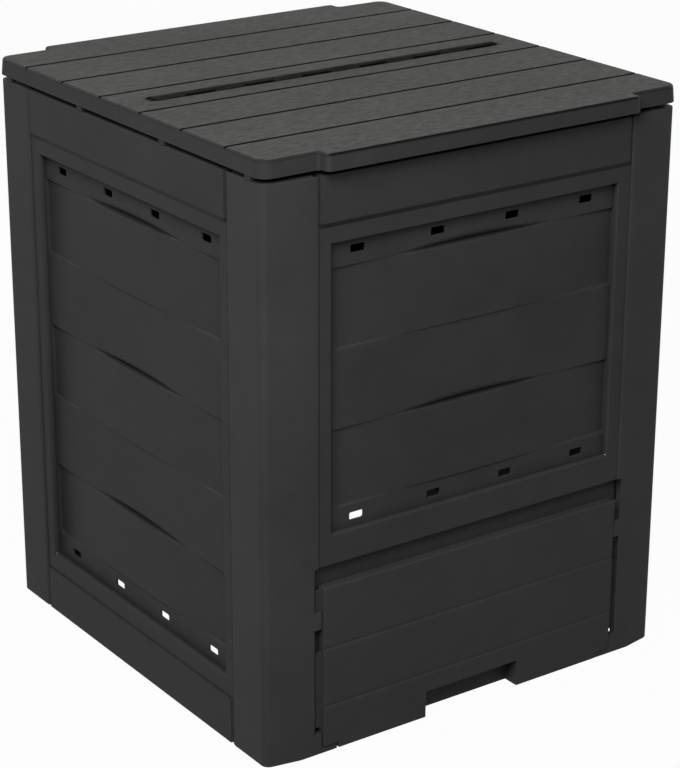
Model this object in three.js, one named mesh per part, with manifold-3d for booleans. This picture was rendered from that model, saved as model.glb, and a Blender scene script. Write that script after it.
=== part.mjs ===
// Square garden compost bin of moulded plastic: corner posts, boarded walls, base rails,
// a lifting hatch low on the front and a lid of two leaves on one middle hinge.
// Millimetres, +Z up, the hatch on the -Y side, origin at the middle of the footprint.
import * as THREE from 'three';
import { mergeVertices } from 'three/addons/utils/BufferGeometryUtils.js';
import Module from 'manifold-3d';

const wasm = await Module();
wasm.setup();

// Driving dimensions of the whole bin
const bodyWidth = 605;
const bodyDepth = 616.2;
const wallTop = 717.6;
const halfWidth = bodyWidth / 2;
const halfDepth = bodyDepth / 2;

// Clearances that fitting parts share, and the overrun of every cut
const slideGap = 0.4;
const seatGap = 0.3;
const overrun = 5;

// Corner posts: two legs round each corner, hollow, open at the bottom
const post = {
  frontLeg: 68.9,
  sideLeg: 74.5,
  thickness: 17,
  wall: 3,
  crease: 43.5,
  sweepBack: 8,
  cornerRadius: 10.5,
  endBlock: 16,
  lap: 4.2,
  lapDepth: 1.7,
  cornerSteps: 7,
};

// Wall mouldings: what the three full walls and the short front wall share
const wall = {
  seam: 8.1,
  shell: 3,
  depth: 21.5,
  tongueReach: 11.4,
  topBand: 55.6,
  bevel: 6,
  recess: 2.6,
  topChamfer: 0.8,
  upperFrame: 19.5,
  sideFrame: 15,
  lowerFrame: 25,
  frontLowerFrame: 38,
  lipDepth: 9.5,
  undercut: 3,
};

// Boards pressed into each wall
const board = {
  pitch: 97.92,
  topStrip: 33,
  face: 12.5,
  sheet: 3,
  bow: 2.5,
  bowFall: 7,
  lensDepth: 4.3,
  facet: 11,
  ledge: 2,
  lensShare: 0.69,
  curlHeightShare: 0.45,
  curlDepthShare: 0.25,
  steps: 26,
};

// Air slots through the top and bottom strips
const airSlot = {
  width: 20,
  height: 9.5,
  corner: 2,
  cornerSteps: 3,
  aboveBoards: 18.5,
  belowBoards: 16.5,
  placeShares: [-0.8, -0.261, 0.261, 0.8],
};

// Base rails under the two side walls and the rear wall
const rail = {
  height: 58.6,
  shell: 3,
  edge: 1,
};

// Hatch low on the front, held behind a tab on each front post
const hatch = {
  shell: 3,
  proud: 2.4,
  edgeGap: 1.4,
  footGap: 0.8,
  bottom: 1,
  top: 218,
  lift: 25,
  headGap: 1,
  corner: 3,
  cornerSteps: 4,
  grooveHeights: [62, 138.5],
  grooveWidth: 5,
  grooveDepth: 1.4,
  earThickness: 3,
  earClear: 3.6,
  earAbove: 6,
  windowBelow: 7,
  windowAbove: 2,
  gripHalf: 71.5,
  gripHeight: 36,
  gripDepth: 20,
  gripRoofDrop: 15,
  gripSteps: 6,
};

// What the front posts carry for the hatch
const catchPart = {
  lip: 2,
  lipSet: 2.9,
  channel: 9.4,
  tabBottom: 165,
  tabHeight: 23,
  tabThickness: 4,
  footBlock: 27,
  footBlockDepth: 8,
  ledge: 7.5,
  ledgeReach: 29.6,
  ledgeDepth: 14,
};

// Header behind the top edge of the hatch, with a leg down each side behind it
const header = {
  drop: 39,
  front: 12.5,
  thickness: 3,
  topGap: 0.6,
  leg: 20,
  legEdge: 3.6,
  legFoot: 1,
};

// Lid: two equal leaves over the walls
const lid = {
  gap: 6.1,
  height: 21.4,
  frontLift: 1.3,
  sideOverhang: 0.5,
  cornerSet: 4.7,
  gripOverhang: 13.1,
  gripHalf: 227.5,
  flare: 1.6,
  edgeDrop: 4.1,
  edgeIn: 3,
  edgeSteps: 4,
  planCorner: 15,
  stepOutside: 6,
  stepInside: 4.5,
  arcSteps: 5,
  seam: 0.8,
  slab: 4,
  shell: 3,
  plankPitch: 91.87,
  grooveWidth: 5,
  grooveFloor: 2.4,
  grooveDepth: 2.2,
  ribThickness: 2.4,
  ribDepth: 10,
  ribSpacing: 92,
  locatorGap: 4,
  locatorDrop: 8.6,
  seamFlange: 11,
};

// Bumpers under the side edges of the lid
const bumper = {
  length: 12,
  width: 7.4,
  inset: 1.2,
  into: 2.5,
  placeShares: [0.315, 0.908],
};

// Hinge along the middle of the lid
const hinge = {
  rise: 0.3,
  knuckle: 2.75,
  pin: 1.4,
  count: 12,
  endGap: 0.6,
  sideMargin: 39.5,
  endRoom: 8.5,
  recessWidth: 11.5,
  recessDepth: 3,
  floor: 3.5,
  web: 4.6,
  webSide: 0.35,
  webDrop: 5.4,
  webTop: 0.5,
  head: 2.6,
  headLength: 2.5,
  capLength: 3,
  capDepth: 1.5,
  steps: 20,
};

// Finishes
const finish = {
  post: { color: 0x363636, roughness: 0.55, metalness: 0 },
  wall: { color: 0x323232, roughness: 0.55, metalness: 0 },
  rail: { color: 0x333333, roughness: 0.58, metalness: 0 },
  hatch: { color: 0x343434, roughness: 0.55, metalness: 0 },
  lid: { color: 0x393937, roughness: 0.5, metalness: 0 },
  pin: { color: 0x1d1d1d, roughness: 0.45, metalness: 0 },
};

// Solids from three.js geometry
function toSolid(geometry) {
  geometry.deleteAttribute('normal');
  geometry.deleteAttribute('uv');
  const merged = mergeVertices(geometry);
  return new wasm.Manifold(new wasm.Mesh({
    numProp: 3,
    vertProperties: new Float32Array(merged.attributes.position.array),
    triVerts: new Uint32Array(merged.index.array),
  }));
}

function toGeometry(solid) {
  const mesh = solid.getMesh();
  const geometry = new THREE.BufferGeometry();
  geometry.setAttribute('position', new THREE.Float32BufferAttribute(mesh.vertProperties, 3));
  geometry.setIndex(new THREE.Uint32BufferAttribute(mesh.triVerts, 1));
  geometry.computeVertexNormals();
  return geometry;
}

function joined(solids) {
  return solids.reduce((whole, solid) => whole.add(solid));
}

function cutBy(solid, tools) {
  return tools.reduce((rest, tool) => rest.subtract(tool), solid);
}

// A box between two values on each axis
function block(xs, ys, zs) {
  const sizes = [xs, ys, zs].map(([low, high]) => Math.abs(high - low));
  const middles = [xs, ys, zs].map(([low, high]) => (low + high) / 2);
  return toSolid(new THREE.BoxGeometry(...sizes).translate(...middles));
}

function extruded(points, length) {
  const shape = new THREE.Shape(points.map(([across, up]) => new THREE.Vector2(across, up)));
  return new THREE.ExtrudeGeometry(shape, { depth: length, bevelEnabled: false });
}

const axisX = new THREE.Vector3(1, 0, 0);
const axisY = new THREE.Vector3(0, 1, 0);
const axisZ = new THREE.Vector3(0, 0, 1);

// Outline in (x, y), standing from one height to another
function prismUp(points, low, high) {
  return toSolid(extruded(points, high - low).translate(0, 0, low));
}

// Outline in (y, z), running from one x to another
function prismAcross(points, low, high) {
  const turn = new THREE.Matrix4().makeBasis(axisY, axisZ, axisX);
  return toSolid(extruded(points, high - low).applyMatrix4(turn).translate(low, 0, 0));
}

// Outline in (x, z), running from one y to another
function prismInward(points, low, high) {
  const turn = new THREE.Matrix4().makeBasis(axisX, axisZ, axisY.clone().negate());
  return toSolid(extruded(points, high - low).applyMatrix4(turn).translate(0, high, 0));
}

// A rod along X about a centre line
function rod(radius, low, high, y, z, steps) {
  const geometry = new THREE.CylinderGeometry(radius, radius, high - low, steps);
  geometry.rotateZ(Math.PI / 2);
  return toSolid(geometry.translate((low + high) / 2, y, z));
}

// Points of a round corner, both ends included
function arc(centreX, centreY, radius, from, to, steps) {
  return Array.from({ length: steps + 1 }, (unused, step) => {
    const angle = from + (to - from) * step / steps;
    return [centreX + radius * Math.cos(angle), centreY + radius * Math.sin(angle)];
  });
}

// A rectangle with round corners, about a centre
function roundedRectangle(middleX, middleY, width, height, radius, steps) {
  const right = middleX + width / 2 - radius;
  const left = middleX - width / 2 + radius;
  const high = middleY + height / 2 - radius;
  const low = middleY - height / 2 + radius;
  const quarter = Math.PI / 2;
  return [
    ...arc(right, high, radius, 0, quarter, steps),
    ...arc(left, high, radius, quarter, 2 * quarter, steps),
    ...arc(left, low, radius, 2 * quarter, 3 * quarter, steps),
    ...arc(right, low, radius, 3 * quarter, 4 * quarter, steps),
  ];
}

// A closed skin through rings of equal point counts, capped at both ends
function skinned(rings, flatten) {
  const count = rings[0].length;
  const positions = rings.flat().flat();
  const contour = rings[0].map((point) => new THREE.Vector2(...flatten(point)));
  const clockwise = THREE.ShapeUtils.isClockWise(contour);
  const cap = THREE.ShapeUtils.triangulateShape(contour, []).map(
    ([a, b, c]) => (clockwise ? [a, c, b] : [a, b, c]));
  const last = (rings.length - 1) * count;
  const forward = cap.map((face) => face.map((corner) => corner + last));
  const triangles = [...cap.map(([a, b, c]) => [a, c, b]), ...forward];
  for (let ring = 0; ring < rings.length - 1; ring += 1) {
    for (let corner = 0; corner < count; corner += 1) {
      const next = (corner + 1) % count;
      const a = ring * count + corner;
      const b = ring * count + next;
      const c = a + count;
      const d = b + count;
      triangles.push([a, b, d], [a, d, c]);
    }
  }
  const inward = signedVolume(positions, triangles) < 0;
  const faces = inward ? triangles.map(([a, b, c]) => [a, c, b]) : triangles;
  const geometry = new THREE.BufferGeometry();
  geometry.setAttribute('position', new THREE.Float32BufferAttribute(positions, 3));
  geometry.setIndex(faces.flat());
  return toSolid(geometry);
}

function signedVolume(positions, triangles) {
  const corner = (index) => new THREE.Vector3().fromArray(positions, index * 3);
  return triangles.reduce(
    (sum, [a, b, c]) => sum + corner(a).dot(corner(b).cross(corner(c))) / 6, 0);
}

function named(name, solid, look) {
  const mesh = new THREE.Mesh(toGeometry(solid), new THREE.MeshStandardMaterial(look));
  mesh.name = name;
  return mesh;
}

// Sizes that follow from the driving ones
const openHalf = halfWidth - post.frontLeg;
const frontSpan = openHalf - wall.seam;
const sideSpan = halfDepth - post.sideLeg - wall.seam;
const hatchHead = hatch.top + hatch.lift + hatch.headGap;
const hatchHalf = openHalf - wall.seam - hatch.edgeGap / 2;
const fieldTop = wallTop - wall.topBand - wall.bevel - wall.upperFrame;
const slotDepth = wall.tongueReach + slideGap * 2;
const hatchFace = -hatch.proud;
const hatchBack = header.front - hatch.edgeGap;
const hatchFoot = catchPart.ledge + hatch.footGap;
const hatchFootHalf = openHalf - catchPart.ledgeReach - hatch.edgeGap;
const tabTop = catchPart.tabBottom + catchPart.tabHeight;
const windowLow = catchPart.tabBottom - hatch.lift - hatch.windowBelow;
const windowHigh = tabTop - hatch.lift + hatch.windowAbove;

// Corner posts. A post's own frame has its outer corner at zero, x along the front leg and
// y along the side leg, and each post turns or mirrors it to its corner.
function postOutline() {
  const sweep = Math.atan2(post.sweepBack, post.crease);
  const tangent = post.cornerRadius / Math.tan((Math.PI / 2 + sweep) / 2);
  const corner = arc(post.cornerRadius, post.sweepBack + tangent, post.cornerRadius,
    Math.PI * 3 / 2 - sweep, Math.PI, post.cornerSteps);
  const lapBack = wall.recess + wall.shell / 2;
  return [
    [post.frontLeg, lapBack],
    [post.frontLeg + post.lap, lapBack],
    [post.frontLeg + post.lap, post.lapDepth],
    [post.frontLeg, 0],
    [post.crease, 0],
    ...corner,
    [0, post.sideLeg],
    [post.lapDepth, post.sideLeg + post.lap],
    [lapBack, post.sideLeg + post.lap],
    [lapBack, post.sideLeg],
    [post.thickness, post.sideLeg],
    [post.thickness, post.thickness],
    [post.frontLeg, post.thickness],
  ];
}

function postHollow() {
  const sweepAt = (along) => post.sweepBack * (1 - along / post.crease);
  const inside = post.thickness - post.wall;
  return [
    [post.frontLeg - post.endBlock, post.wall],
    [post.crease, post.wall],
    [post.cornerRadius, post.wall + sweepAt(post.cornerRadius)],
    [post.wall, post.sweepBack + post.cornerRadius],
    [post.wall, post.sideLeg - post.endBlock],
    [inside, post.sideLeg - post.endBlock],
    [inside, inside],
    [post.frontLeg - post.endBlock, inside],
  ];
}

function cornerPost(name, signX, signY, carriesHatch) {
  const place = (points) => points.map(([x, y]) => [x * signX, y * signY]);
  const bar = (xs, ys, zs) => block(
    xs.map((x) => x * signX), ys.map((y) => y * signY), zs);
  const slotFront = wall.recess - slideGap;
  const slotBack = wall.recess + wall.shell + slideGap;
  const through = [-overrun, wallTop + overrun];
  const tools = [
    prismUp(place(postHollow()), -overrun, wallTop - post.wall),
    bar([post.frontLeg - slotDepth, post.frontLeg + overrun], [slotFront, slotBack], through),
    bar([slotFront, slotBack], [post.sideLeg - slotDepth, post.sideLeg + overrun], through),
  ];
  if (carriesHatch) {
    const low = [-overrun, hatchHead];
    const channelBack = post.thickness + overrun;
    tools.push(
      bar([post.frontLeg - catchPart.channel, post.frontLeg + overrun],
        [catchPart.lip, channelBack], low),
      bar([post.frontLeg - catchPart.lipSet, post.frontLeg + overrun],
        [-overrun, channelBack], low),
    );
  }
  let solid = cutBy(prismUp(place(postOutline()), 0, wallTop), tools);
  if (carriesHatch) {
    const root = post.frontLeg - catchPart.channel - catchPart.lip;
    const reach = post.frontLeg + wall.seam - hatch.edgeGap / 2;
    solid = joined([
      solid,
      bar([root, reach], [0, catchPart.tabThickness], [catchPart.tabBottom, tabTop]),
      bar([root, reach], [0, catchPart.footBlockDepth], [0, catchPart.footBlock]),
      bar([root, post.frontLeg + catchPart.ledgeReach], [0, catchPart.ledgeDepth],
        [0, catchPart.ledge]),
    ]);
  }
  const mesh = named(name, solid, finish.post);
  mesh.position.set(-signX * halfWidth, -signY * halfDepth, 0);
  return mesh;
}

// Boards. A wall's own frame has x along the wall, y into the bin from its face, z up.
function lensAt(share) {
  const reach = Math.min(Math.abs(share) / board.lensShare, 1);
  return Math.cos(reach * Math.PI / 2) ** 2;
}

// How far a raised board lies back from the others: it bows out in the middle of the wall
function fallAt(share) {
  const reach = Math.min(Math.abs(share), 1);
  return board.bowFall * (1 - Math.cos(reach * Math.PI / 2)) - board.bow;
}

function boardEdges(fieldBottom) {
  const first = fieldTop - board.topStrip;
  const count = Math.floor((first - fieldBottom) / board.pitch);
  return Array.from({ length: count + 1 }, (unused, edge) => first - edge * board.pitch);
}

// One upright cut through the boards at a place along the wall. Every second board is raised:
// above it the wall curls inwards to a groove, below it the wall steps back to the face.
function boardSection(across, fieldHalf, edges, fieldBottom) {
  const share = across / fieldHalf;
  const lens = lensAt(share);
  const hollow = board.face + board.lensDepth * lens;
  const facet = board.ledge + (board.facet - board.ledge) * lens;
  const raised = board.face + fallAt(share);
  const tuck = wall.undercut + wall.shell / 2;
  const leaning = (step) => Math.max(-board.sheet, Math.min(board.sheet, step));
  const front = [];
  const back = [];
  const add = (z, depth, drop) => {
    front.push([z, depth]);
    back.push([z - drop, depth + board.sheet]);
  };
  add(fieldTop + tuck, board.face, 0);
  edges.forEach((edge, index) => {
    if (index % 2 === 0) {
      const drop = leaning(hollow - raised);
      const above = Math.min(drop, 0);
      add(edge + facet, board.face, above);
      add(edge + facet * board.curlHeightShare,
        board.face + (hollow - board.face) * board.curlDepthShare, above);
      add(edge, hollow, above);
      add(edge - board.ledge, raised, drop);
    } else {
      const drop = leaning(raised - board.face);
      add(edge + board.ledge / 2, raised, drop);
      add(edge - board.ledge / 2, board.face, drop);
    }
  });
  add(fieldBottom - tuck, edges.length % 2 === 1 ? raised : board.face, 0);
  return [...front, ...back.reverse()].map(([z, depth]) => [across, depth, z]);
}

function boardSheet(fieldHalf, edges, fieldBottom) {
  const stations = Array.from({ length: board.steps + 1 },
    (unused, step) => fieldHalf * (2 * step / board.steps - 1));
  const tucked = fieldHalf + wall.undercut + wall.shell / 2;
  const rings = [-tucked, ...stations, tucked].map(
    (across) => boardSection(across, fieldHalf, edges, fieldBottom));
  return skinned(rings, ([, depth, z]) => [depth, z]);
}

// A rectangular ring in the plane of the wall
function wallRing(half, grow, from, to, low, high) {
  const outer = block([-half - grow, half + grow], [from, to], [low - grow, high + grow]);
  const inner = block([-half, half], [from - overrun, to + overrun], [low, high]);
  return outer.subtract(inner);
}

function airSlots(fieldHalf, edges) {
  const heights = [edges[0] + airSlot.aboveBoards, edges[edges.length - 1] - airSlot.belowBoards];
  return heights.flatMap((z) => airSlot.placeShares.map((share) => prismInward(
    roundedRectangle(share * fieldHalf, z, airSlot.width, airSlot.height,
      airSlot.corner, airSlot.cornerSteps),
    board.face - overrun / 2, wall.depth + overrun)));
}

function topBand(span) {
  const bandBottom = wallTop - wall.topBand;
  const bevelBottom = bandBottom - wall.bevel;
  const plateBack = wall.recess + wall.shell;
  const joint = fieldTop + wall.undercut;
  return prismAcross([
    [0, bandBottom],
    [0, wallTop - wall.topChamfer],
    [wall.topChamfer, wallTop],
    [wall.depth, wallTop],
    [wall.depth, wallTop - wall.shell],
    [wall.shell, wallTop - wall.shell],
    [wall.shell, bandBottom],
    [plateBack, bevelBottom],
    [plateBack, joint],
    [wall.recess, joint],
    [wall.recess, bevelBottom],
  ], -span, span);
}

function wallPanel(span, bottom, lowerFrame) {
  const fieldHalf = span - wall.sideFrame;
  const fieldBottom = bottom + lowerFrame;
  const edges = boardEdges(fieldBottom);
  const plateBack = wall.recess + wall.shell;
  const plate = block([-span, span], [wall.recess, plateBack],
    [bottom, fieldTop + wall.undercut]);
  const field = block([-fieldHalf, fieldHalf], [-overrun, plateBack + overrun],
    [fieldBottom, fieldTop]);
  const lip = wallRing(fieldHalf, wall.undercut + wall.shell, wall.recess, wall.lipDepth,
    fieldBottom, fieldTop);
  const collar = wallRing(fieldHalf + wall.undercut, wall.shell, wall.lipDepth - wall.shell / 2,
    wall.depth, fieldBottom - wall.undercut, fieldTop + wall.undercut);
  const pieces = [plate.subtract(field), topBand(span), lip, collar,
    cutBy(boardSheet(fieldHalf, edges, fieldBottom), airSlots(fieldHalf, edges))];
  for (const side of [-1, 1]) {
    pieces.push(
      block([side * (span - wall.shell), side * span], [wall.recess, wall.depth],
        [bottom, wallTop - wall.shell / 2]),
      block([side * (span - wall.shell), side * (span + wall.seam + wall.tongueReach)],
        [wall.recess, plateBack], [bottom, wallTop - wall.shell]),
    );
  }
  pieces.push(block([-span, span], [plateBack - wall.shell / 2, wall.depth],
    [bottom, bottom + wall.shell]));
  return joined(pieces);
}

const railTop = rail.height;
const panelBottom = railTop + seatGap;

function fullPanel(name, span) {
  const groove = block([-span - overrun, span + overrun],
    [-overrun, wall.recess + wall.shell / 2], [panelBottom - overrun, panelBottom + rail.edge]);
  return named(name, wallPanel(span, panelBottom, wall.lowerFrame).subtract(groove), finish.wall);
}

function frontPanel(name) {
  const depths = [header.front, header.front + header.thickness];
  const wingHalf = openHalf + catchPart.lipSet;
  const low = hatchHead - header.drop;
  const legOuter = openHalf - header.legEdge;
  const legs = [-1, 1].map((side) => block([side * (legOuter - header.leg), side * legOuter],
    depths, [catchPart.ledge + header.legFoot, low + header.thickness]));
  return named(name, joined([
    wallPanel(frontSpan, hatchHead, wall.frontLowerFrame),
    block([-frontSpan, frontSpan], depths, [low, hatchHead + wall.shell / 2]),
    block([-wingHalf, wingHalf], depths, [low, hatchHead - header.topGap]),
    ...legs,
  ]), finish.wall);
}

// Base rails: an upside-down channel with closed ends and the same tongues as the wall above
function baseRail(name, span) {
  const body = prismAcross([
    [0, 0],
    [0, railTop - rail.edge],
    [rail.edge, railTop],
    [wall.depth, railTop],
    [wall.depth, 0],
    [wall.depth - rail.shell, 0],
    [wall.depth - rail.shell, railTop - rail.shell],
    [rail.shell, railTop - rail.shell],
    [rail.shell, 0],
  ], -span, span);
  const ends = [-1, 1].flatMap((side) => [
    block([side * (span - rail.shell), side * span],
      [rail.shell / 2, wall.depth - rail.shell / 2], [0, railTop - rail.shell / 2]),
    block([side * (span - rail.shell), side * (span + wall.seam + wall.tongueReach)],
      [wall.recess, wall.recess + wall.shell], [0, railTop - rail.edge]),
  ]);
  return named(name, joined([body, ...ends]), finish.rail);
}

// Hatch: a hollow tray with two grooves, side ears and a finger grip in its bottom edge
function gripOutline(grow) {
  const front = hatchFace - overrun;
  const depth = hatch.gripDepth + grow;
  const high = hatch.gripHeight + grow;
  const drop = hatch.gripRoofDrop;
  const roof = Array.from({ length: hatch.gripSteps + 1 }, (unused, step) => {
    const angle = Math.PI / 2 * step / hatch.gripSteps;
    return [depth * Math.sin(angle), high - drop + drop * Math.cos(angle)];
  });
  return [[front, high], ...roof, [depth, -overrun], [front, -overrun]];
}

function hatchTray() {
  const outer = prismInward(roundedRectangle(0, (hatch.top + hatch.bottom) / 2, 2 * hatchHalf,
    hatch.top - hatch.bottom, hatch.corner, hatch.cornerSteps), hatchFace, hatchBack);
  const inner = block([-hatchHalf + hatch.shell, hatchHalf - hatch.shell],
    [hatchFace + hatch.shell, hatchBack + overrun],
    [hatch.bottom + hatch.shell, hatch.top - hatch.shell]);
  return outer.subtract(inner);
}

function hatchEars() {
  const tip = openHalf + catchPart.lipSet - hatch.earClear;
  const front = catchPart.tabThickness + slideGap;
  const low = catchPart.footBlock + hatch.earAbove;
  return [-1, 1].map((side) => block([side * (hatchHalf - hatch.shell), side * tip],
    [front, front + hatch.earThickness], [low, hatch.top - hatch.shell]));
}

function hatchCuts() {
  const cutFront = hatchFace - overrun;
  const grooves = hatch.grooveHeights.map((z) => prismAcross([
    [cutFront, z - hatch.grooveWidth / 2],
    [hatchFace, z - hatch.grooveWidth / 2],
    [hatchFace + hatch.grooveDepth, z],
    [hatchFace, z + hatch.grooveWidth / 2],
    [cutFront, z + hatch.grooveWidth / 2],
  ], -hatchHalf - overrun, hatchHalf + overrun));
  const sides = [-1, 1].flatMap((side) => [
    block([side * hatchHalf, side * halfWidth], [cutFront, wall.depth],
      [windowLow, windowHigh]),
    block([side * hatchFootHalf, side * halfWidth], [cutFront, wall.depth],
      [-overrun, hatchFoot]),
  ]);
  return [...grooves, ...sides];
}

// Walls that close the tray over its feet
function hatchFill() {
  const depths = [hatchFace + hatch.shell / 2, hatchBack];
  return [-1, 1].flatMap((side) => [
    block([side * (hatchFootHalf - hatch.shell), side * (hatchHalf - hatch.corner)], depths,
      [hatchFoot, hatchFoot + hatch.shell]),
    block([side * (hatchFootHalf - hatch.shell), side * hatchFootHalf], depths,
      [hatch.bottom + hatch.corner, hatchFoot + hatch.shell]),
  ]);
}

function hatchSolid() {
  const outside = hatch.gripHalf + hatch.shell;
  const pocket = prismAcross(gripOutline(hatch.shell), -outside, outside)
    .intersect(block([-outside, outside],
      [hatchFace, hatch.gripDepth + hatch.shell],
      [hatch.bottom, hatch.gripHeight + hatch.shell]));
  const shell = joined([hatchTray(), ...hatchEars(), pocket]);
  const grip = prismAcross(gripOutline(0), -hatch.gripHalf, hatch.gripHalf);
  return joined([cutBy(shell, hatchCuts()), ...hatchFill()]).subtract(grip);
}

function hatchPart(name) {
  const mesh = named(name, hatchSolid(), finish.hatch);
  mesh.position.y = -halfDepth;
  return mesh;
}

// Lid leaf. Its own frame is the bin's, with the leaf over the front half.
const lidHalf = halfWidth + lid.sideOverhang;
const lidCorner = halfDepth - lid.cornerSet;
const lidReach = halfDepth + lid.gripOverhang;
const skirtBottom = wallTop + lid.gap;
const lidTop = skirtBottom + lid.height;
const slabBottom = lidTop - lid.slab;
const locatorHalf = halfWidth - wall.depth - lid.locatorGap;
const locatorReach = halfDepth - wall.depth - lid.locatorGap;
const hingeZ = lidTop + hinge.rise;
const seamHalf = lid.seam / 2;
const recessHalf = lidHalf - hinge.sideMargin;
const hingeHalf = recessHalf - hinge.endRoom;
const knucklePitch = 2 * hingeHalf / hinge.count;

function leafOutline(grow, seamY) {
  const side = lidHalf + grow;
  const corner = lidCorner + grow;
  const middle = lidReach + grow;
  const step = lid.gripHalf + grow;
  const cornerRadius = lid.planCorner + grow;
  const outside = lid.stepOutside + grow;
  const inside = lid.stepInside - grow;
  const quarter = Math.PI / 2;
  const right = [
    [side, -seamY],
    ...arc(side - cornerRadius, cornerRadius - corner, cornerRadius, 0, -quarter, lid.arcSteps),
    ...arc(step + inside, -corner - inside, inside, quarter, 2 * quarter, lid.arcSteps),
    ...arc(step - outside, outside - middle, outside, 0, -quarter, lid.arcSteps),
  ];
  const left = right.map(([x, y]) => [-x, y]).reverse();
  return [...right, ...left];
}

function leafRings(levels, seamY) {
  return levels.map(([z, grow]) => leafOutline(grow, seamY).map(([x, y]) => [x, y, z]));
}

function leafShell() {
  const shoulder = lidTop - lid.edgeDrop;
  const levels = [[skirtBottom, lid.flare]];
  for (let step = 0; step <= lid.edgeSteps; step += 1) {
    const angle = Math.PI / 2 * step / lid.edgeSteps;
    levels.push([shoulder + lid.edgeDrop * Math.sin(angle),
      -lid.edgeIn * (1 - Math.cos(angle))]);
  }
  const outer = skinned(leafRings(levels, seamHalf), ([x, y]) => [x, y]);
  const inner = skinned(leafRings([
    [skirtBottom - overrun, lid.flare - lid.shell],
    [slabBottom, -lid.shell],
  ], seamHalf + lid.shell), ([x, y]) => [x, y]);
  const gripSide = lid.gripHalf + lid.flare + lid.stepInside;
  const underGrip = block([-gripSide, gripSide],
    [-lidReach - overrun, -lidCorner - lid.stepInside],
    [skirtBottom - overrun, skirtBottom + lid.frontLift]);
  const underSeam = block([-lidHalf + lid.planCorner, lidHalf - lid.planCorner],
    [-seamHalf - 2 * lid.shell, 0],
    [skirtBottom - overrun, slabBottom - lid.seamFlange + lid.shell]);
  return cutBy(outer, [inner, underGrip, underSeam]);
}

function leafRibs() {
  const low = slabBottom - lid.ribDepth;
  const high = slabBottom + lid.slab / 4;
  const half = lid.ribThickness / 2;
  const seamEdge = -seamHalf - lid.shell / 2;
  const ribs = [];
  for (let y = lid.plankPitch / 2; y < locatorReach; y += lid.plankPitch) {
    ribs.push(block([-locatorHalf, locatorHalf], [-y - 2 * half, -y + 2 * half],
      [low, high]));
  }
  const count = Math.floor(locatorHalf / lid.ribSpacing);
  for (let index = -count; index <= count; index += 1) {
    const x = index * lid.ribSpacing;
    ribs.push(block([x - half, x + half], [-locatorReach, seamEdge], [low, high]));
  }
  return ribs;
}

function leafLocator() {
  const low = wallTop - lid.locatorDrop;
  const high = slabBottom + lid.slab / 4;
  const seamEdge = -seamHalf - lid.shell;
  const inner = locatorHalf - lid.shell;
  const outer = block([-locatorHalf, locatorHalf], [-locatorReach, seamEdge], [low, high]);
  return outer.subtract(block([-inner, inner], [-locatorReach + lid.shell, 0],
    [low - overrun, high + overrun]));
}

function leafBumpers() {
  const span = [wallTop + seatGap, skirtBottom + bumper.into];
  const outer = lidHalf + lid.flare - bumper.inset;
  return bumper.placeShares.flatMap((share) => {
    const along = [-lidCorner * share - bumper.length / 2, -lidCorner * share + bumper.length / 2];
    return [-1, 1].map((side) => block(
      [side * (outer - bumper.width), side * outer], along, span));
  });
}

function hingeFloor() {
  const reach = recessHalf + lid.shell;
  const low = lidTop - hinge.recessDepth - hinge.floor;
  return block([-reach, reach], [-hinge.recessWidth - lid.shell, -seamHalf],
    [low, lidTop - hinge.recessDepth + hinge.rise]);
}

function hingeRecess() {
  return prismUp(roundedRectangle(0, 0, 2 * recessHalf, 2 * hinge.recessWidth,
    hinge.recessWidth - hinge.rise, lid.arcSteps),
  lidTop - hinge.recessDepth, lidTop + overrun);
}

function plankGrooves() {
  const grooves = [];
  for (let y = lid.plankPitch / 2; y < lidReach; y += lid.plankPitch) {
    grooves.push(prismAcross([
      [-y - lid.grooveWidth / 2, lidTop + overrun],
      [-y - lid.grooveWidth / 2, lidTop],
      [-y - lid.grooveFloor / 2, lidTop - lid.grooveDepth],
      [-y + lid.grooveFloor / 2, lidTop - lid.grooveDepth],
      [-y + lid.grooveWidth / 2, lidTop],
      [-y + lid.grooveWidth / 2, lidTop + overrun],
    ], -lidHalf - overrun, lidHalf + overrun));
  }
  return grooves;
}

function knuckles() {
  const solids = [];
  for (let index = 0; index < hinge.count; index += 2) {
    const low = -hingeHalf + index * knucklePitch + hinge.endGap / 2;
    const high = low + knucklePitch - hinge.endGap;
    solids.push(
      rod(hinge.knuckle, low, high, 0, hingeZ, hinge.steps),
      block([low, high], [-hinge.web, -hinge.webSide],
        [hingeZ - hinge.webDrop, hingeZ - hinge.webTop]),
    );
  }
  return solids;
}

function lidLeaf(name, turn) {
  const shell = joined([leafShell(), ...leafRibs(), leafLocator(), ...leafBumpers(),
    hingeFloor()]);
  const cut = cutBy(shell, [hingeRecess(), ...plankGrooves()]);
  const bore = rod(hinge.pin + seatGap, -hingeHalf - overrun, hingeHalf + overrun, 0, hingeZ,
    hinge.steps);
  const mesh = named(name, joined([cut, ...knuckles()]).subtract(bore), finish.lid);
  mesh.rotation.z = turn;
  return mesh;
}

// Hinge pin with a head on one end and a pressed cap on the other
function hingePin(name) {
  const low = -hingeHalf - hinge.headLength;
  const shank = rod(hinge.pin, low, hingeHalf + hinge.capLength - hinge.capDepth, 0, hingeZ,
    hinge.steps);
  const head = rod(hinge.head, low, -hingeHalf - seatGap, 0, hingeZ, hinge.steps);
  return named(name, shank.add(head), finish.pin);
}

function pinCap(name) {
  const from = hingeHalf + seatGap;
  const cap = rod(hinge.head, from, hingeHalf + hinge.capLength + seatGap, 0, hingeZ,
    hinge.steps);
  const socket = rod(hinge.pin + seatGap, from - overrun,
    hingeHalf + hinge.capLength - hinge.capDepth + seatGap, 0, hingeZ, hinge.steps);
  return named(name, cap.subtract(socket), finish.pin);
}

// The bin put together
function onWall(mesh, x, y, turn) {
  mesh.position.set(x, y, 0);
  mesh.rotation.z = turn;
  return mesh;
}

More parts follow.
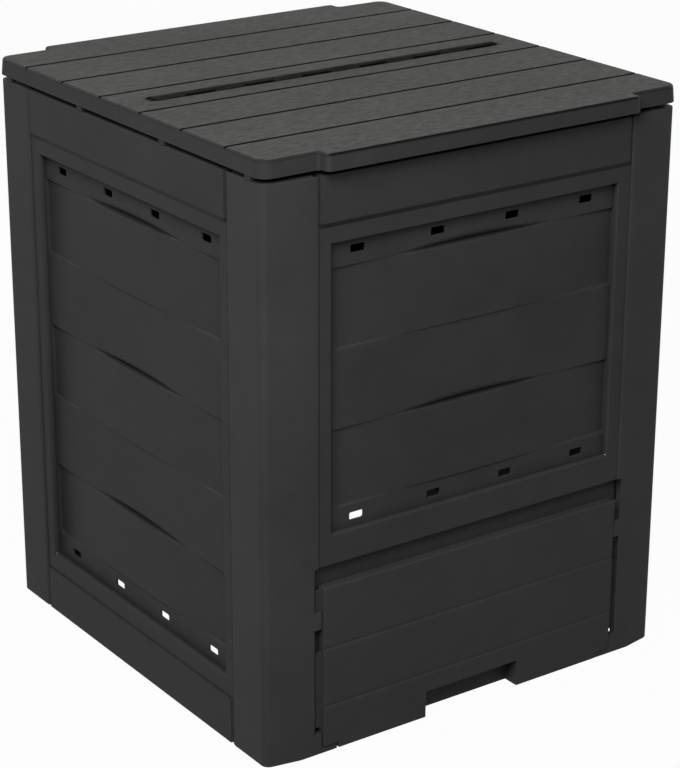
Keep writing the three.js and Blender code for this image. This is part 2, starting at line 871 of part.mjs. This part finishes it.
const quarterTurn = Math.PI / 2;
const bin = new THREE.Group();
bin.name = 'compost_bin';

bin.add(cornerPost('corner_post_front_left', 1, 1, true));
bin.add(cornerPost('corner_post_front_right', -1, 1, true));
bin.add(cornerPost('corner_post_rear_left', 1, -1, false));
bin.add(cornerPost('corner_post_rear_right', -1, -1, false));

bin.add(onWall(baseRail('base_rail_left', sideSpan), -halfWidth, 0, -quarterTurn));
bin.add(onWall(baseRail('base_rail_right', sideSpan), halfWidth, 0, quarterTurn));
bin.add(onWall(baseRail('base_rail_rear', frontSpan), 0, halfDepth, 2 * quarterTurn));

bin.add(onWall(fullPanel('side_panel_left', sideSpan), -halfWidth, 0, -quarterTurn));
bin.add(onWall(fullPanel('side_panel_right', sideSpan), halfWidth, 0, quarterTurn));
bin.add(onWall(fullPanel('rear_panel', frontSpan), 0, halfDepth, 2 * quarterTurn));
bin.add(onWall(frontPanel('front_panel'), 0, -halfDepth, 0));

bin.add(hatchPart('hatch'));

bin.add(lidLeaf('lid_front_leaf', 0));
bin.add(lidLeaf('lid_rear_leaf', 2 * quarterTurn));
bin.add(hingePin('lid_hinge_pin'));
bin.add(pinCap('hinge_pin_cap'));

export default bin;
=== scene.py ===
# Square garden compost bin of moulded plastic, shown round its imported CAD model.
# Metres, +Z up, the hatch on the -Y side.
import math

import bmesh
import bpy
from mathutils import Matrix, Vector
from mathutils.geometry import delaunay_2d_cdt


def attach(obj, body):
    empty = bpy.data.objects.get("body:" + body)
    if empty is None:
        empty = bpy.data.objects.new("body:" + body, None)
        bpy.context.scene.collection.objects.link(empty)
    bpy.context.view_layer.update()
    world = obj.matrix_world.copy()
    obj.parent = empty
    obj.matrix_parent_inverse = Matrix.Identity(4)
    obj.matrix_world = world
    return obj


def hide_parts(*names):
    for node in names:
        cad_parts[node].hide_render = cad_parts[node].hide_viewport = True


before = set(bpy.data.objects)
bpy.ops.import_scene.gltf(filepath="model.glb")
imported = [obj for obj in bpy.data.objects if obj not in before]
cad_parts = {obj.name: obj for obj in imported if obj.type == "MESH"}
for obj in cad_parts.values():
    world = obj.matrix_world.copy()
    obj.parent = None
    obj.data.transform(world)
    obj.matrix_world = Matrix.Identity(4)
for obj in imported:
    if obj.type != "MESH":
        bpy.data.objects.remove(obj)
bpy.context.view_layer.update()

# The photograph's view
# A camera at standing height off the front left corner, looking down on the lid.
# The shift only frames the bin as the photograph does.
picture_width, picture_height = 680, 768
focal_pixels = 2368.73
centre_x, centre_y = 303.2, 355.5
azimuth, elevation, roll = 0.6004, 0.3536, 0.0026
camera_place = Vector((-1.655898, -2.358334, 1.430918))
camera_reach = 100
forward = Vector((math.sin(azimuth) * math.cos(elevation),
                  math.cos(azimuth) * math.cos(elevation), -math.sin(elevation)))
level = forward.cross(Vector((0, 0, 1))).normalized()
drop = forward.cross(level)
right = level * math.cos(roll) + drop * math.sin(roll)
down = drop * math.cos(roll) - level * math.sin(roll)
lens = bpy.data.cameras.new("photo_view")
lens.sensor_fit = "AUTO"
lens.sensor_width = 36
lens.lens = focal_pixels * lens.sensor_width / picture_height
lens.shift_x = (picture_width / 2 - centre_x) / picture_height
lens.shift_y = (centre_y - picture_height / 2) / picture_height
lens.clip_end = camera_reach
camera = bpy.data.objects.new("photo_view", lens)
camera.matrix_world = Matrix((
    (right.x, -down.x, -forward.x, camera_place.x),
    (right.y, -down.y, -forward.y, camera_place.y),
    (right.z, -down.z, -forward.z, camera_place.z),
    (0, 0, 0, 1)))
bpy.context.scene.collection.objects.link(camera)
bpy.context.scene.camera = camera
bpy.context.scene.view_settings.view_transform = "Standard"

# Floor
# A plain pale studio floor, wide enough that no edge of it shows.
# The camera and reflections see it nearly white, with the bin's shadow left on it.
floor_half = 30.0
floor_level = 0.26
floor_white_share = 0.97


class Reading:
    """One socket of a node tree. Python's operators on it add Math nodes."""

    def __init__(self, tree, socket):
        self.tree = tree
        self.socket = socket

    def worked(self, operation, *values, clamp=False):
        node = self.tree.nodes.new("ShaderNodeMath")
        node.operation = operation
        node.use_clamp = clamp
        for place, value in zip(node.inputs, values):
            if isinstance(value, Reading):
                self.tree.links.new(value.socket, place)
            else:
                place.default_value = value
        return Reading(self.tree, node.outputs[0])

    def __add__(self, other):
        return self.worked("ADD", self, other)

    def __sub__(self, other):
        return self.worked("SUBTRACT", self, other)

    def __rsub__(self, other):
        return self.worked("SUBTRACT", other, self)

    def __mul__(self, other):
        return self.worked("MULTIPLY", self, other)

    def __truediv__(self, other):
        return self.worked("DIVIDE", self, other)

    def __pow__(self, other):
        return self.worked("POWER", self, other)

    def __mod__(self, other):
        return self.worked("FLOORED_MODULO", self, other)

    def __abs__(self):
        return self.worked("ABSOLUTE", self)

    __radd__ = __add__
    __rmul__ = __mul__

    def floor(self):
        return self.worked("FLOOR", self)

    def above(self, other):
        return self.worked("GREATER_THAN", self, other)

    def least(self, other):
        return self.worked("MINIMUM", self, other)

    def most(self, other):
        return self.worked("MAXIMUM", self, other)

    def cosine(self):
        return self.worked("COSINE", self)

    def sign(self):
        return self.worked("SIGN", self)

    def spread(self, contrast):
        """The values drawn away from a half by a factor and held between 0 and 1."""
        wide = (self - 0.5) * contrast + 0.5
        return self.worked("ADD", wide, 0.0, clamp=True)


class Tree:
    """A node tree that is filled by one method."""

    def __init__(self, tree):
        self.tree = tree

    def add(self, kind, settings=None, inputs=None, output=0):
        node = self.tree.nodes.new(kind)
        for name, value in (settings or {}).items():
            setattr(node, name, value)
        for name, value in (inputs or {}).items():
            for one in value if isinstance(value, list) else [value]:
                if isinstance(one, Reading):
                    self.tree.links.new(one.socket, node.inputs[name])
                else:
                    node.inputs[name].default_value = one
        return Reading(self.tree, node.outputs[output]) if node.outputs else None

    def axes(self, vector):
        """The x, y and z of a vector."""
        split = self.add("ShaderNodeSeparateXYZ", inputs={"Vector": vector})
        return [Reading(self.tree, part) for part in split.socket.node.outputs]

    def white_rays(self):
        """One for a ray that comes from the camera or off or through gloss, else zero."""
        camera_ray, glossy, through = (
            self.add("ShaderNodeLightPath", output=ray)
            for ray in ("Is Camera Ray", "Is Glossy Ray", "Is Transmission Ray"))
        return camera_ray.most(glossy).most(through)


class Finish(Tree):
    """A material and the tree of its surface."""

    def __init__(self, name):
        self.material = bpy.data.materials.new(name)
        self.material.use_nodes = True
        super().__init__(self.material.node_tree)
        self.tree.nodes.clear()

    def place(self):
        return self.add("ShaderNodeTexCoord", output="Object")

    def noise(self, scale, detail=2.0, stretch=(1, 1, 1), roughness=0.5):
        where = self.add("ShaderNodeMapping", inputs={
            "Vector": self.place(), "Scale": stretch})
        return self.add("ShaderNodeTexNoise", inputs={
            "Vector": where, "Scale": scale, "Detail": detail, "Roughness": roughness})

    def mixed(self, share, low, high):
        """A colour between two colours, each three numbers or another mix."""
        low, high = (one if isinstance(one, Reading) else (*one, 1) for one in (low, high))
        return self.add("ShaderNodeMix", {"data_type": "RGBA"},
                        {0: share, 6: low, 7: high}, 2)

    def surface(self, inputs):
        shader = self.add("ShaderNodeBsdfPrincipled", inputs=inputs)
        self.add("ShaderNodeOutputMaterial", inputs={"Surface": shader})
        return self.material


def grey(level):
    """A neutral colour of one level."""
    return level, level, level


def shown(name, mesh):
    """Puts a mesh in the scene as an object at the origin."""
    piece = bpy.data.objects.new(name, mesh)
    bpy.context.scene.collection.objects.link(piece)
    return piece


floor_mesh = bpy.data.meshes.new("floor")
floor_mesh.from_pydata([(-floor_half, -floor_half, 0), (floor_half, -floor_half, 0),
                        (floor_half, floor_half, 0), (-floor_half, floor_half, 0)],
                       [], [(0, 1, 2, 3)])
floor = shown("studio_floor", floor_mesh)
floor_finish = Finish("studio_floor")
floor_white = floor_finish.white_rays() * floor_white_share
floor_matt = floor_finish.add("ShaderNodeBsdfDiffuse", inputs={
    "Color": (*grey(floor_level), 1)})
floor_glow = floor_finish.add("ShaderNodeEmission", inputs={
    "Color": (1, 1, 1, 1), "Strength": 1.0})
floor_finish.add("ShaderNodeOutputMaterial", inputs={
    "Surface": floor_finish.add("ShaderNodeMixShader", inputs={
        0: floor_white, 1: floor_matt, 2: floor_glow})})
floor_mesh.materials.append(floor_finish.material)

# Studio light
# A soft key box off the front left corner, with weak ones in front, right and behind.
# The world is white to the camera and to reflections, and otherwise a dim white room.
room_level = 0.14
lamps = [
    ("key_box", (-1.47, -1.44, 2.07), (0, 0, 0.4), 1.27, 73),
    ("front_box", (0.6, -3.0, 0.55), (0, 0, 0.45), 1.6, 7),
    ("right_box", (3.0, 0.4, 1.5), (0, 0, 0.35), 1.8, 26),
    ("back_box", (-0.8, 3.0, 1.5), (0, 0, 0.35), 1.8, 26),
]
world = bpy.data.worlds.new("studio")
world.use_nodes = True
room = Tree(world.node_tree)
room.tree.nodes.clear()
room_dim, room_white = (
    room.add("ShaderNodeBackground", inputs={"Color": (1, 1, 1, 1), "Strength": strength})
    for strength in (room_level, 1.0))
room.add("ShaderNodeOutputWorld", inputs={
    "Surface": room.add("ShaderNodeMixShader", inputs={
        0: room.white_rays(), 1: room_dim, 2: room_white})})
bpy.context.scene.world = world
for lamp_name, lamp_place, lamp_aim, lamp_size, lamp_power in lamps:
    lamp = bpy.data.lights.new(lamp_name, "AREA")
    lamp.shape = "SQUARE"
    lamp.size = lamp_size
    lamp.energy = lamp_power
    holder = bpy.data.objects.new(lamp_name, lamp)
    aim = Vector(lamp_aim) - Vector(lamp_place)
    holder.matrix_world = (Matrix.Translation(lamp_place)
                           @ aim.to_track_quat("-Z", "Y").to_matrix().to_4x4())
    holder.visible_camera = False
    bpy.context.scene.collection.objects.link(holder)

# Corner posts
# Four hollow injection mouldings of dark polypropylene, round the corners of the bin.
# Their slots take the tongues of the walls and rails, and the two front ones carry the
# tab, block and ledge that hold the hatch.
post_colours = grey(0.031), grey(0.042)
post_roughness = 0.5
post_edge = 0.0008
cloud_scale, blotch_scale, grain_scale = 7.0, 42.0, 1100.0
cloud_detail = 3.0
cloud_share, blotch_share, cloud_contrast = 0.65, 0.35, 2.2
gloss_change = 0.14
plastic_sheen = 0.04
grain_relief, bump_strength, bump_height = 0.35, 0.35, 0.0004
double_reach, fill_reach = 2e-6, 1e-7
fill_share, fill_slack = 1.03, 2e-7
inside_outline = 1
plain_flat, plain_crease = 0.6, 28
edge_steps = 2
flat_weight = 50


def moulded_plastic(name, colours, roughness, marks_and_painted_shade=None):
    """Satin plastic off a lightly grained tool: cloudy, with fine grain and soft sheen.

    The marks, where given, change its colour and relief, and may paint shade into the
    colour.
    """
    finish = Finish(name)
    cloud = finish.noise(cloud_scale, cloud_detail)
    blotch = finish.noise(blotch_scale, cloud_detail)
    grain = finish.noise(grain_scale)
    share = (cloud * cloud_share + blotch * blotch_share).spread(cloud_contrast)
    colour = finish.mixed(share, *colours)
    relief = grain * grain_relief
    if marks_and_painted_shade:
        colour, relief = marks_and_painted_shade(finish, colour, relief)
    bump = finish.add("ShaderNodeBump", inputs={
        "Strength": bump_strength, "Distance": bump_height, "Height": relief})
    return finish.surface({
        "Base Color": colour,
        "Roughness": (cloud - 0.5) * gloss_change + roughness,
        "Specular IOR Level": plastic_sheen,
        "Normal": bump})


def turns_round(outline, spot):
    """How many times an outline runs anticlockwise round a spot."""
    turns = 0
    for start, end in zip(outline, outline[1:] + outline[:1]):
        rising = end.y > start.y
        if (start.y <= spot.y) != (end.y <= spot.y):
            side = ((end.x - start.x) * (spot.y - start.y)
                    - (spot.x - start.x) * (end.y - start.y))
            if (side > 0) == rising:
                turns += 1 if rising else -1
    return turns


def mended(mesh):
    """Refills each face that would be filled outside its outline, and stays inside it."""
    mesh.calc_loop_triangles()
    filled = [0.0] * len(mesh.polygons)
    for part in mesh.loop_triangles:
        filled[part.polygon_index] += part.area
    form = bmesh.new()
    form.from_mesh(mesh)
    for face in form.faces[:]:
        if filled[face.index] < face.calc_area() * fill_share + fill_slack:
            continue
        turn = face.normal.rotation_difference(Vector((0, 0, 1))).to_matrix()
        flat = [turn @ corner.co for corner in face.verts]
        outline = [one.xy for one in flat]
        places, _, parts, sources, _, _ = delaunay_2d_cdt(
            outline, [], [range(len(flat))], inside_outline, fill_reach)
        back, height = turn.inverted(), flat[0].z
        corners = [face.verts[source[0]] if source
                   else form.verts.new(back @ Vector((*place, height)))
                   for place, source in zip(places, sources)]
        form.faces.remove(face)
        for part in parts:
            own = [corners[one] for one in part]
            middle = sum((places[one] for one in part), Vector((0, 0))) / 3
            if len(set(own)) == 3 and turns_round(outline, middle) > 0:
                form.faces.new(own).smooth = True
    form.to_mesh(mesh)
    form.free()


def rounded(piece, edge, crease, wide=None, on_rim=None, flat=plain_flat):
    """Makes a piece's flat faces whole and rounds each edge sharper than the crease.

    An edge with both ends on the rim, where one is given, gets the wide rounding.
    The crease, and the most that a flat face may bend, are in degrees.
    """
    form = bmesh.new()
    form.from_mesh(piece.data)
    bmesh.ops.remove_doubles(form, verts=form.verts, dist=double_reach)
    bmesh.ops.dissolve_limit(form, angle_limit=math.radians(flat), verts=form.verts,
                             edges=form.edges)
    weight = form.edges.layers.float.new("bevel_weight_edge")
    for line in form.edges:
        if line.calc_face_angle(0.0) > math.radians(crease):
            broad = on_rim is not None and all(on_rim(end.co) for end in line.verts)
            line[weight] = 1.0 if broad else edge / (wide or edge)
    form.to_mesh(piece.data)
    form.free()
    piece.data.shade_smooth()
    rounding = piece.modifiers.new("edge", "BEVEL")
    rounding.width = wide or edge
    rounding.segments = edge_steps
    rounding.limit_method = "WEIGHT"
    rounding.use_clamp_overlap = False
    evaluated = piece.evaluated_get(bpy.context.evaluated_depsgraph_get())
    piece.data = bpy.data.meshes.new_from_object(evaluated)
    piece.modifiers.remove(rounding)
    mended(piece.data)
    shading = piece.modifiers.new("flat faces", "WEIGHTED_NORMAL")
    shading.mode = "FACE_AREA"
    shading.weight = flat_weight
    shading.keep_sharp = False


def moulding(node, edge, finish, body, wide=None, on_rim=None):
    """Stands for a CAD node: its own form with rounded edges."""
    piece = shown(node + "_moulding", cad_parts[node].data.copy())
    piece.data.materials.clear()
    piece.data.materials.append(finish)
    rounded(piece, edge, plain_crease, wide, on_rim)
    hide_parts(node)
    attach(piece, body)


post_finish = moulded_plastic("post_plastic", post_colours, post_roughness)
for corner in ("front_left", "front_right", "rear_left", "rear_right"):
    moulding("corner_post_" + corner, post_edge, post_finish, "bin_body")

# Base rails
# Channels of the same plastic along the ground under the two side walls and the rear wall.
# Their end tongues drop into the slots of the posts.
rail_colours = grey(0.029), grey(0.037)
rail_roughness = 0.52
rail_edge = 0.0008
rail_finish = moulded_plastic("rail_plastic", rail_colours, rail_roughness)
for side in ("left", "right", "rear"):
    moulding("base_rail_" + side, rail_edge, rail_finish, "bin_body")

# Boarded walls
# Three full mouldings of the same plastic and a short one over the hatch, each a frame
# with boards formed in it. Their tongues drop into the slots of the posts, and slots in
# the boards let air through.
wall_colours = grey(0.027), grey(0.037)
wall_roughness = 0.5
wall_edge, lip_edge = 0.0006, 0.0026
wall_flat, wall_crease = 0.05, 11
wall_sizes = {
    "Field Half": 0.2105,
    "Field Top": 0.6365,
    "Field Bottom": 0.0839,
    "Board Edges": 6,
    "Top Strip": 0.033,
    "Pitch": 0.09792,
    "Board Face": 0.0125,
    "Sheet": 0.003,
    "Tuck": 0.0045,
    "Bow": 0.0025,
    "Bow Fall": 0.007,
    "Lens Depth": 0.0043,
    "Lens Share": 0.69,
    "Facet": 0.011,
    "Ledge": 0.002,
    "Slot Width": 0.020,
    "Slot Height": 0.0095,
    "Slot Corner": 0.002,
    "Slots Above": 0.0185,
    "Slots Below": 0.0165,
    "Outer Share": 0.8,
    "Inner Share": 0.261,
    "Clear From": 0.0095,
    "Clear To": 0.030,
    "Clear Past": 0.00305,
}
short_sizes = {**wall_sizes, "Field Bottom": 0.282, "Board Edges": 4}
board_columns = 97
curl_rows = 5
pair_rows = curl_rows + 3
curl_power, painted_shade_power = 2.3, 1.5
slots_across = 4
slot_corner_steps = 4
cutter_sheets = 10
closing_reach = 1e-5
half_width, half_depth = 0.3025, 0.3081
plate_depth = 0.0026
plane_reach = 1e-4
wall_places = {
    "side_panel_left": ((-half_width, 0), -90),
    "side_panel_right": ((half_width, 0), 90),
    "rear_panel": ((0, half_depth), 180),
    "front_panel": ((0, -half_depth), 0),
}
# Painted shade: a near black mixed into the wall colour in the curled grooves and in a
# strip under the top band.
painted_shade_colour = grey(0.004)
painted_groove_strength = 0.85
under_band = 0.6560, 0.6620
painted_band_strength = 0.6


class Growth(Tree):
    """A Geometry Nodes tree with named inputs, each set before it is first evaluated."""

    def __init__(self, name, sizes):
        super().__init__(bpy.data.node_groups.new(name, "GeometryNodeTree"))
        face = self.tree.interface
        face.new_socket("Form", in_out="INPUT", socket_type="NodeSocketGeometry")
        face.new_socket("Form", in_out="OUTPUT", socket_type="NodeSocketGeometry")
        self.keys = {}
        for label in sizes:
            socket = face.new_socket(label, in_out="INPUT", socket_type="NodeSocketFloat")
            self.keys[label] = socket.identifier
        self.entry = self.add("NodeGroupInput").socket.node

    def size(self, label):
        return Reading(self.tree, self.entry.outputs[label])

    def vector(self, x=0.0, y=0.0, z=0.0):
        return self.add("ShaderNodeCombineXYZ", inputs={"X": x, "Y": y, "Z": z})

    def closed(self, sheet, offset):
        """A sheet given a thickness, with its first side kept and turned outwards."""
        raised = self.add("GeometryNodeExtrudeMesh", {"mode": "FACES"}, {
            "Mesh": sheet, "Offset": offset, "Offset Scale": 1.0, "Individual": False})
        base = self.add("GeometryNodeFlipFaces", inputs={"Mesh": sheet})
        both = self.add("GeometryNodeJoinGeometry", inputs={"Geometry": [raised, base]})
        return self.add("GeometryNodeMergeByDistance", inputs={
            "Geometry": both, "Distance": closing_reach})

    def cut(self, form, cutter):
        """A form less another."""
        return self.add("GeometryNodeMeshBoolean", {
            "operation": "DIFFERENCE", "solver": "EXACT"},
            {"Mesh 1": form, "Mesh 2": cutter})

    def end(self, form, finish):
        real = self.add("GeometryNodeRealizeInstances", inputs={"Geometry": form})
        painted = self.add("GeometryNodeSetMaterial", inputs={
            "Geometry": real, "Material": finish})
        self.add("NodeGroupOutput", inputs={"Form": painted})

    def grown(self, name, mesh, sizes):
        """The plain mesh that the tree makes of another mesh and these sizes."""
        holder = shown(name, mesh)
        modifier = holder.modifiers.new(name, "NODES")
        modifier.node_group = self.tree
        for label, value in sizes.items():
            modifier[self.keys[label]] = float(value)
        evaluated = holder.evaluated_get(bpy.context.evaluated_depsgraph_get())
        result = bpy.data.meshes.new_from_object(evaluated)
        holder.modifiers.remove(modifier)
        bpy.data.objects.remove(holder)
        return result


def board_sheet(grow, first):
    """The boards of a wall as one closed sheet, down from the first board edge.

    Every second board is raised and bowed, with a curled groove along its top.
    """
    size = grow.size
    rows = size("Board Edges") * pair_rows / 2 + 2
    along, up, _ = grow.axes(grow.add("GeometryNodeInputPosition"))
    share = abs(along) / size("Field Half")
    lens = (share / size("Lens Share")).least(1.0) * (math.pi / 2)
    lens = lens.cosine() ** 2
    facet = size("Ledge") + (size("Facet") - size("Ledge")) * lens
    fall = 1 - (share.least(1.0) * (math.pi / 2)).cosine()
    fall = fall * size("Bow Fall") - size("Bow")
    row = ((rows - 1) * 0.5 - up + 0.5).floor()
    pair = ((row - 1) / pair_rows).floor()
    part = (row - 1) - pair * pair_rows
    curl = 1 - (part / (curl_rows - 1)).least(1.0)
    on_curl = 1 - part.above(curl_rows - 0.5)
    on_top, on_foot, under = (
        1 - abs(part - curl_rows - step).least(1.0) for step in range(3))
    z = first - pair * 2 * size("Pitch")
    z = z + facet * curl * on_curl - size("Ledge") * on_top
    z = z - (on_foot + under) * size("Pitch") + size("Ledge") * 0.5 * (on_foot - under)
    deep = (1 - curl) ** curl_power * lens * size("Lens Depth") * on_curl
    deep = deep + fall * (on_top + on_foot)
    at_top = 1 - row.above(0.5)
    at_foot = row.above(rows - 1.5)
    z = z + at_top * (size("Field Top") + size("Tuck") - z)
    z = z + at_foot * (size("Field Bottom") - size("Tuck") - z)
    deep = deep * (1 - at_top) * (1 - at_foot)
    grid = grow.add("GeometryNodeMeshGrid", inputs={
        "Size X": (size("Field Half") + size("Tuck")) * 2, "Size Y": rows - 1,
        "Vertices X": board_columns, "Vertices Y": rows})
    # Painted shade: how far each point lies down a curled groove, stored so that the wall
    # colour is darkened there.
    in_groove = (1 - curl) ** painted_shade_power * on_curl * (lens * 2).least(1.0)
    in_groove = in_groove * (1 - at_top) * (1 - at_foot)
    grid = grow.add("GeometryNodeStoreNamedAttribute", {
        "data_type": "FLOAT", "domain": "POINT"}, {
        "Geometry": grid, "Name": "in_groove", "Value": in_groove})
    sheet = grow.add("GeometryNodeSetPosition", inputs={
        "Geometry": grid, "Position": grow.vector(along, size("Board Face") + deep, z)})
    return grow.closed(sheet, grow.vector(y=size("Sheet")))


def air_slots(grow, first):
    """Rounded cutters for the row of air slots above the boards and the row below."""
    size = grow.size
    number = grow.add("GeometryNodeInputIndex")
    column = number % slots_across - (slots_across - 1) / 2
    lower = (number / slots_across).floor()
    inner, outer = size("Inner Share"), size("Outer Share")
    across = inner + (outer - inner) * (abs(column) - 0.5)
    across = column.sign() * across * size("Field Half")
    last = first - (size("Board Edges") - 1) * size("Pitch")
    high = first + size("Slots Above")
    slot_up = high + lower * (last - size("Slots Below") - high)
    points = grow.add("GeometryNodeMeshLine", {"mode": "OFFSET"}, {
        "Count": slots_across * 2})
    points = grow.add("GeometryNodeSetPosition", inputs={
        "Geometry": points,
        "Position": grow.vector(across, size("Board Face"), slot_up)})
    outline = grow.add("GeometryNodeCurvePrimitiveQuadrilateral", inputs={
        "Width": size("Slot Width"), "Height": size("Slot Height")})
    outline = grow.add("GeometryNodeFilletCurve", {"mode": "POLY"}, {
        "Curve": outline, "Count": slot_corner_steps, "Radius": size("Slot Corner")})
    plate = grow.add("GeometryNodeFillCurve", inputs={"Curve": outline})
    cutter = grow.closed(plate, grow.vector(z=size("Sheet") * cutter_sheets))
    cutter = grow.add("GeometryNodeTransform", inputs={
        "Geometry": cutter, "Rotation": (math.pi / 2, 0, 0),
        "Translation": grow.vector(y=size("Sheet") * (cutter_sheets / 2))})
    return grow.add("GeometryNodeRealizeInstances", inputs={
        "Geometry": grow.add("GeometryNodeInstanceOnPoints", inputs={
            "Points": points, "Instance": cutter})})


def plain_boards(grow):
    """The block that takes the plain boards out of a wall moulding."""
    size = grow.size
    past = size("Clear Past") * 2
    block = grow.add("GeometryNodeMeshCube", inputs={"Size": grow.vector(
        size("Field Half") * 2 + past, size("Clear To") - size("Clear From"),
        size("Field Top") - size("Field Bottom") + past)})
    return grow.add("GeometryNodeTransform", inputs={
        "Geometry": block, "Translation": grow.vector(
            0.0, (size("Clear To") + size("Clear From")) * 0.5,
            (size("Field Top") + size("Field Bottom")) * 0.5)})


def board_tree(finish):
    """Cuts the plain boards out of a wall moulding and grows finer ones in their place."""
    grow = Growth("boards", wall_sizes)
    first = grow.size("Field Top") - grow.size("Top Strip")
    sheet = grow.cut(board_sheet(grow, first), air_slots(grow, first))
    surround = grow.cut(grow.size("Form"), plain_boards(grow))
    both = grow.add("GeometryNodeJoinGeometry", inputs={"Geometry": [sheet, surround]})
    grow.end(both, finish)
    return grow


def merged(node, turn):
    """A copy of a CAD node's mesh with its doubles merged, moved by a matrix."""
    form = bmesh.new()
    form.from_mesh(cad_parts[node].data)
    bmesh.ops.remove_doubles(form, verts=form.verts, dist=double_reach)
    mesh = bpy.data.meshes.new(node + "_form")
    form.to_mesh(mesh)
    form.free()
    mesh.transform(turn)
    return mesh


def with_painted_shade(finish, colour, relief):
    """Painted shade in the curled groove over each raised board, and under the top band."""
    _, _, z = finish.axes(finish.place())
    painted_band = z.above(under_band[0]) * (1 - z.above(under_band[1])) * painted_band_strength
    painted_groove = finish.add("ShaderNodeAttribute", {"attribute_name": "in_groove"},
                        output="Fac")
    painted_shade = painted_band.most(painted_groove * painted_groove_strength)
    return finish.mixed(painted_shade, colour, painted_shade_colour), relief


wall_finish = moulded_plastic("wall_plastic", wall_colours, wall_roughness, with_painted_shade)
boards = board_tree(wall_finish)
for wall, ((wall_x, wall_y), wall_turn) in wall_places.items():
    placing = (Matrix.Translation((wall_x, wall_y, 0))
               @ Matrix.Rotation(math.radians(wall_turn), 4, "Z"))
    to_wall = placing.inverted()
    own_sizes = short_sizes if wall == "front_panel" else wall_sizes
    wall_form = boards.grown(wall, merged(wall, to_wall), own_sizes)
    wall_form.transform(placing)

    def on_lip(point):
        """Whether a point lies on the front rim of the frame round the boards."""
        x, y, z = to_wall @ point
        return (abs(y - plate_depth) < plane_reach
                and abs(x) < own_sizes["Field Half"] + plane_reach
                and z > own_sizes["Field Bottom"] - plane_reach
                and z < own_sizes["Field Top"] + plane_reach)

    wall_piece = shown(wall + "_moulding", wall_form)
    rounded(wall_piece, wall_edge, wall_crease, lip_edge, on_lip, wall_flat)
    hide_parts(wall)
    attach(wall_piece, "bin_body")

# Hatch
# A shallow tray moulding of the same plastic that lifts behind the tabs of the front posts.
# Two grooves cross it and a finger grip is formed in its bottom edge.
hatch_colours = grey(0.030), grey(0.039)
hatch_roughness = 0.5
hatch_edge = 0.0008
hatch_rim = 0.0018
hatch_face = -0.3105
hatch_finish = moulded_plastic("hatch_plastic", hatch_colours, hatch_roughness)
moulding("hatch", hatch_edge, hatch_finish, "hatch_door",
         hatch_rim, lambda point: abs(point.y - hatch_face) < plane_reach)

# Lid
# Two equal leaves of the same plastic moulded with planks, each with ribs and a locating
# lip below. Knuckles of both stand in turn along the middle, round the hinge pin.
lid_colours = grey(0.026), grey(0.035)
# The plank colours give real wood grain, and are also painted light: their lighter mean
# makes the top brighter than the sides.
plank_grain_and_top_light = (0.017, 0.0166, 0.0155), (0.066, 0.0645, 0.060)
lid_roughness = 0.5
lid_edge = 0.0006
lid_top = 0.7451
top_skin = 0.0004
# Painted shade: the rounded rim, the recess along the hinge and the plank grooves are
# darkened in colour.
rim_drop, rim_painted_shade = 0.0041, 0.35
plank_pitch = 0.09187
groove_half, groove_depth = 0.0027, 0.0024
recess_half, recess_reach, recess_painted_shade = 0.0118, 0.2665, 0.75
wood_scale, wood_detail, wood_stretch = 16.0, 4.0, (3.0, 14.0, 14.0)
fibre_scale, fibre_detail, fibre_stretch = 60.0, 3.0, (1.5, 10.0, 10.0)
wood_roughness = 0.6
wood_share, fibre_share, wood_contrast = 0.55, 0.45, 4.0
wood_relief = 0.9


def planked(finish, colour, relief):
    """Wood grain on the top of the lid, painted lighter than the sides, and painted shade
    in its grooves, recess and rim.
    """
    x, y, z = finish.axes(finish.place())
    x, y = abs(x), abs(y)
    wood = finish.noise(wood_scale, wood_detail, wood_stretch, wood_roughness)
    fibre = finish.noise(fibre_scale, fibre_detail, fibre_stretch, wood_roughness)
    grain = (wood * wood_share + fibre * fibre_share).spread(wood_contrast)
    on_top = z.above(lid_top - top_skin)
    near_top = z.above(lid_top - groove_depth)
    from_groove = abs(y % plank_pitch - plank_pitch / 2)
    painted_groove = (1 - from_groove.above(groove_half)) * near_top
    painted_recess = (1 - y.above(recess_half)) * (1 - x.above(recess_reach)) * recess_painted_shade
    painted_rim = z.above(lid_top - rim_drop) * (1 - on_top) * rim_painted_shade
    colour = finish.mixed(on_top, colour, finish.mixed(grain, *plank_grain_and_top_light))
    colour = finish.mixed(painted_groove.most(painted_recess).most(painted_rim), colour, painted_shade_colour)
    return colour, relief + (wood * wood_relief + fibre * wood_relief) * on_top


lid_finish = moulded_plastic("lid_plastic", lid_colours, lid_roughness, planked)
moulding("lid_front_leaf", lid_edge, lid_finish, "lid_front")
moulding("lid_rear_leaf", lid_edge, lid_finish, "lid_rear")

# Hinge pin and cap
# A smooth extruded plastic rod through every knuckle, with a formed head and a pressed cap.
# Both stay with the rear leaf.
pin_colours = grey(0.010), grey(0.014)
pin_roughness = 0.4
pin_edge = 0.0003
pin_finish = moulded_plastic("pin_plastic", pin_colours, pin_roughness)
moulding("lid_hinge_pin", pin_edge, pin_finish, "lid_rear")
moulding("hinge_pin_cap", pin_edge, pin_finish, "lid_rear")
